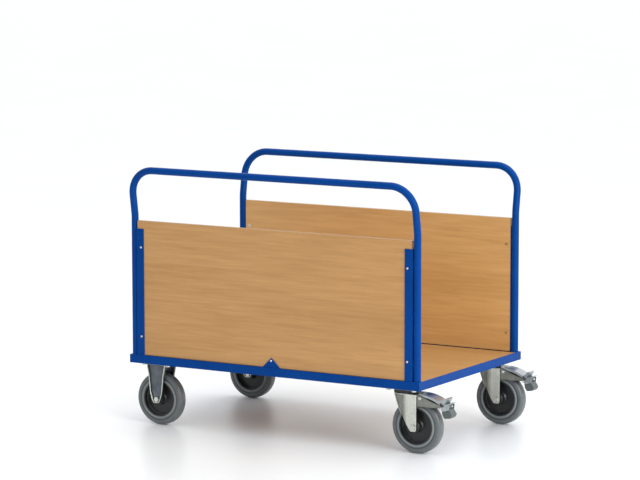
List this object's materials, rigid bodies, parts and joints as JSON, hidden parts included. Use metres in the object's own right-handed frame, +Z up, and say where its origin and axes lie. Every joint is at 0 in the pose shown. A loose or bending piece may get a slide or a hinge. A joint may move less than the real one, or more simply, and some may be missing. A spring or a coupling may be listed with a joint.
{
  "type": "platform trolley",
  "caption": "Platform trolley with a flush wooden deck in a steel angle frame, wooden side panels under tube hoop handles, two fixed castors and two braked swivel castors.",
  "frame": {"origin": "on the floor under the middle of the whole trolley's box", "axes": "+X along the deck towards the swivel castors and brake pedals, +Y towards the back side panel, +Z up"},
  "size_m": [1.3587, 0.8458, 0.9894],
  "materials": {
    "powder_coat": "satin powder coat",
    "deck_wood": "sealed beech board",
    "panel_wood": "sealed beech board",
    "tyre_rubber": "matt",
    "rim_plastic": "moulded",
    "pad_plastic": "moulded",
    "shoe_rubber": "matt",
    "seal_plastic": "moulded",
    "pedal_steel": "zinc plated, dark",
    "zinc_sheet": "zinc plated, satin",
    "zinc_fastener": "zinc plated, bright"
  },
  "bodies": {
    "chassis": {"castor_bolts": "zinc_fastener", "castor_nuts": "zinc_fastener", "cross_channel_left": "powder_coat", "cross_channel_middle": "powder_coat", "cross_channel_right": "powder_coat", "deck_board": "deck_wood", "deck_screws": "zinc_fastener", "fixed_axle_bolts": "zinc_fastener", "fixed_axle_nuts": "zinc_fastener", "fixed_axle_sleeves": "zinc_fastener", "fixed_bracket_back": "zinc_sheet", "fixed_bracket_front": "zinc_sheet", "gusset_back": "powder_coat", "gusset_front": "powder_coat", "hoop_back": "powder_coat", "hoop_front": "powder_coat", "kingpin_nuts": "zinc_fastener", "kingpins": "zinc_fastener", "panel_angle_back_left": "powder_coat", "panel_angle_back_right": "powder_coat", "panel_angle_front_left": "powder_coat", "panel_angle_front_right": "powder_coat", "panel_back": "panel_wood", "panel_front": "panel_wood", "panel_screws": "zinc_fastener", "panel_sleeve_nuts": "zinc_fastener", "rail_back": "powder_coat", "rail_front": "powder_coat", "rail_left": "powder_coat", "rail_right": "powder_coat", "swivel_plate_back": "zinc_sheet", "swivel_plate_front": "zinc_sheet"},
    "wheel_front_left": {"tyre_front_left": "tyre_rubber", "rim_front_left": "rim_plastic", "bearing_front_left": "zinc_fastener"},
    "wheel_front_right": {"tyre_front_right": "tyre_rubber", "rim_front_right": "rim_plastic", "bearing_front_right": "zinc_fastener"},
    "castor_front": {"fork_front": "zinc_sheet", "swivel_seal_front": "seal_plastic", "swivel_balls_front": "zinc_fastener", "fork_axle_front": "zinc_fastener", "brake_pin_front": "zinc_fastener"},
    "brake_front": {"brake_pedal_front": "pedal_steel", "brake_pad_front": "pad_plastic", "brake_shoe_front": "shoe_rubber"},
    "wheel_back_left": {"tyre_back_left": "tyre_rubber", "rim_back_left": "rim_plastic", "bearing_back_left": "zinc_fastener"},
    "wheel_back_right": {"tyre_back_right": "tyre_rubber", "rim_back_right": "rim_plastic", "bearing_back_right": "zinc_fastener"},
    "castor_back": {"fork_back": "zinc_sheet", "swivel_seal_back": "seal_plastic", "swivel_balls_back": "zinc_fastener", "fork_axle_back": "zinc_fastener", "brake_pin_back": "zinc_fastener"},
    "brake_back": {"brake_pedal_back": "pedal_steel", "brake_pad_back": "pad_plastic", "brake_shoe_back": "shoe_rubber"}
  },
  "joints": [
    {"name": "swivel_front", "type": "hinge", "parent": "chassis", "child": "castor_front", "pos_m": [0.47884, -0.3259, 0.2255], "axis": [0, 0, 1], "continuous": true},
    {"name": "brake_front", "type": "hinge", "parent": "castor_front", "child": "brake_front", "pos_m": [0.55284, -0.3259, 0.207], "axis": [0, 1, 0], "range_deg": [0, 5]},
    {"name": "wheel_spin_front_left", "type": "hinge", "parent": "chassis", "child": "wheel_front_left", "pos_m": [-0.58209, -0.3259, 0.1], "axis": [0, 1, 0], "continuous": true},
    {"name": "wheel_spin_front_right", "type": "hinge", "parent": "castor_front", "child": "wheel_front_right", "pos_m": [0.52884, -0.3259, 0.1], "axis": [0, 1, 0], "continuous": true},
    {"name": "swivel_back", "type": "hinge", "parent": "chassis", "child": "castor_back", "pos_m": [0.47884, 0.3259, 0.2255], "axis": [0, 0, 1], "continuous": true},
    {"name": "brake_back", "type": "hinge", "parent": "castor_back", "child": "brake_back", "pos_m": [0.55284, 0.3259, 0.207], "axis": [0, 1, 0], "range_deg": [0, 5]},
    {"name": "wheel_spin_back_left", "type": "hinge", "parent": "chassis", "child": "wheel_back_left", "pos_m": [-0.58209, 0.3259, 0.1], "axis": [0, 1, 0], "continuous": true},
    {"name": "wheel_spin_back_right", "type": "hinge", "parent": "castor_back", "child": "wheel_back_right", "pos_m": [0.52884, 0.3259, 0.1], "axis": [0, 1, 0], "continuous": true}
  ]
}
